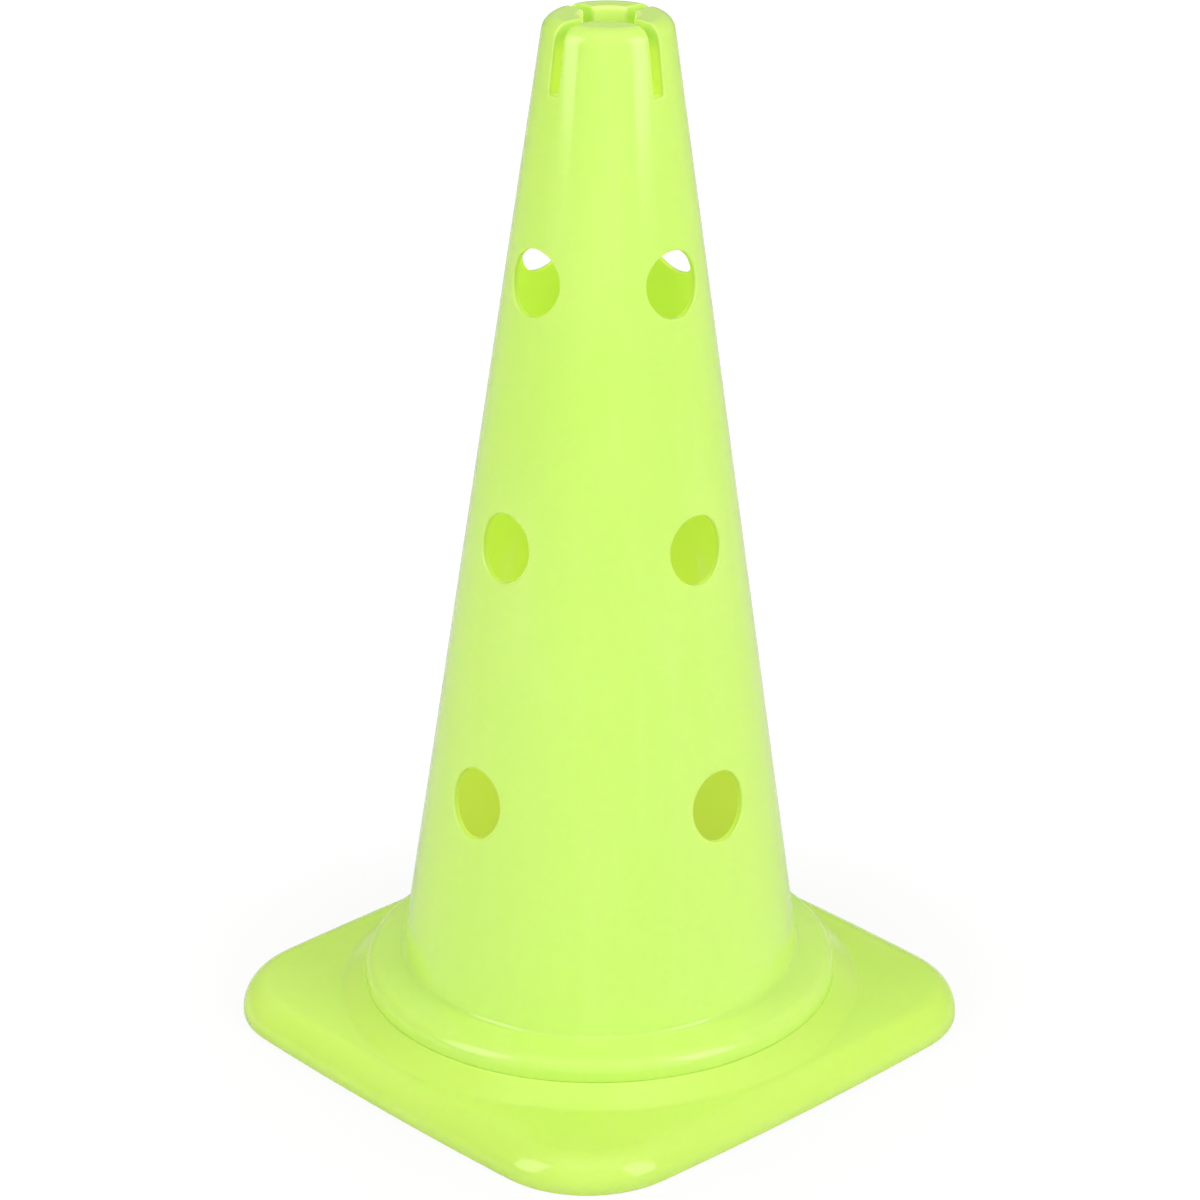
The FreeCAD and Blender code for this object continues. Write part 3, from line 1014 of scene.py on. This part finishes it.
def light_tent():
    """White surroundings, brightest on the camera's side, plain white to the camera."""
    world = bpy.data.worlds.new("studio_world")
    bpy.context.scene.world = world
    world.use_nodes = True
    nt = world.node_tree
    bg = nt.nodes["Background"]
    bg.inputs["Color"].default_value = (1.0, 1.0, 1.0, 1.0)
    tc = nt.nodes.new("ShaderNodeTexCoord")
    dot = nt.nodes.new("ShaderNodeVectorMath")
    dot.operation = "DOT_PRODUCT"
    flat = Vector((CAM.x, CAM.y, 0.0)).normalized()
    dot.inputs[1].default_value = flat
    nt.links.new(tc.outputs["Generated"], dot.inputs[0])
    mr = nt.nodes.new("ShaderNodeMapRange")
    mr.interpolation_type = "SMOOTHSTEP"
    for key, val in (("From Min", 0.2), ("From Max", 0.95), ("To Min", WORLD_FAR), ("To Max", WORLD_NEAR)):
        mr.inputs[key].default_value = val
    nt.links.new(dot.outputs["Value"], mr.inputs["Value"])
    side = nt.nodes.new("ShaderNodeVectorMath")
    side.operation = "DOT_PRODUCT"
    side.inputs[1].default_value = Vector((-flat.y, flat.x, 0.0))
    nt.links.new(tc.outputs["Generated"], side.inputs[0])
    shade = nt.nodes.new("ShaderNodeMapRange")
    shade.interpolation_type = "SMOOTHSTEP"
    for key, val in (("From Min", -0.9), ("From Max", 0.0), ("To Min", 0.35), ("To Max", 1.0)):
        shade.inputs[key].default_value = val
    nt.links.new(side.outputs["Value"], shade.inputs["Value"])
    level = nt.nodes.new("ShaderNodeMath")
    level.operation = "MULTIPLY"
    nt.links.new(mr.outputs[0], level.inputs[0])
    nt.links.new(shade.outputs[0], level.inputs[1])
    lp = nt.nodes.new("ShaderNodeLightPath")
    mx = nt.nodes.new("ShaderNodeMix")
    mx.data_type = "FLOAT"
    nt.links.new(lp.outputs["Is Camera Ray"], mx.inputs[0])
    nt.links.new(level.outputs[0], mx.inputs[2])
    mx.inputs[3].default_value = 1.06
    nt.links.new(mx.outputs[0], bg.inputs["Strength"])


light_tent()


def soft_box(name, az, el, dist, w, h, power, target=(0, 0, 0.25)):
    """Area light at azimuth az (0 along +Y, as seen from -Y) and elevation el, aimed at the object."""
    a, e = math.radians(az), math.radians(el)
    t = Vector(target)
    pos = t + Vector((math.sin(a) * math.cos(e), -math.cos(a) * math.cos(e), math.sin(e))) * dist
    li = bpy.data.lights.new(name, "AREA")
    li.shape = "RECTANGLE"
    li.size, li.size_y = w, h
    li.energy = power
    ob = bpy.data.objects.new(name, li)
    bpy.context.scene.collection.objects.link(ob)
    ob.location = pos
    ob.rotation_mode = "QUATERNION"
    ob.rotation_quaternion = (t - pos).to_track_quat("-Z", "Y")
    return ob


soft_box("softbox_left", AZ - 63, 26, 1.9, 0.85, 1.6, 15.8)
soft_box("softbox_right", AZ + 53, 26, 1.9, 0.85, 1.6, 15.4)
soft_box("softbox_top", AZ, 78, 2.4, 2.2, 2.2, 9.2)
# matte fill from behind: lights the back without adding reflections at the rims
soft_box("fill_back", AZ + 180, 32, 2.4, 2.0, 1.8, 13.0).visible_glossy = False

cam_data = bpy.data.cameras.new("camera")
cam = bpy.data.objects.new("camera", cam_data)
bpy.context.scene.collection.objects.link(cam)
bpy.context.scene.camera = cam
cam.location = CAM
cam_data.sensor_width = 36.0
cam_data.sensor_fit = "HORIZONTAL"
FOCAL_PX = 4408.78
cam_data.lens = FOCAL_PX / 1200.0 * 36.0
cam_data.clip_start, cam_data.clip_end = 0.05, 60.0
PPX, PPY, U0, V0, ROLL = 772.616, -844.885, 611.585, 517.108, -0.002


def aim():
    """Camera axes: a look at (0, 0, 0.25 H), turned so that point lands at (U0, V0)."""
    target = Vector((0, 0, 0.24876))
    fwd = (target - CAM).normalized()
    right = fwd.cross(Vector((0, 0, 1))).normalized()
    up = right.cross(fwd)
    c, s = math.cos(ROLL), math.sin(ROLL)
    r2, u2 = right * c + up * s, up * c - right * s
    yaw = math.atan((U0 - PPX) / FOCAL_PX)
    pit = math.atan((V0 - PPY) / FOCAL_PX)
    cy, sy, cp, sp = math.cos(yaw), math.sin(yaw), math.cos(pit), math.sin(pit)
    ry = Matrix(((cy, 0, sy), (0, 1, 0), (-sy, 0, cy)))
    rx = Matrix(((1, 0, 0), (0, cp, sp), (0, -sp, cp)))
    m = rx @ ry
    rows = []
    for i in range(3):
        rows.append(r2 * m[i][0] + (-u2) * m[i][1] + fwd * m[i][2])
    x_axis, down, ahead = rows
    rot = Matrix((x_axis, -down, -ahead)).transposed()
    return rot.to_quaternion()


cam.rotation_mode = "QUATERNION"
cam.rotation_quaternion = aim()

# lens shift only at this viewpoint: other viewpoints look straight at the object
for prop, value in (("shift_x", (600.0 - PPX) / 1200.0), ("shift_y", (PPY - 600.0) / 1200.0)):
    drv = cam_data.driver_add(prop).driver
    drv.type = "SCRIPTED"
    var = drv.variables.new()
    var.name = "h"
    var.type = "SINGLE_PROP"
    var.targets[0].id = cam
    var.targets[0].data_path = "location[2]"
    drv.expression = "%.6f if abs(h - %.6f) < 0.0002 else 0.0" % (value, CAM.z)

view = bpy.context.scene.view_settings
view.view_transform = "Standard"
view.look = "None"
view.exposure = 0.0
view.gamma = 1.0

bpy.context.view_layer.update()
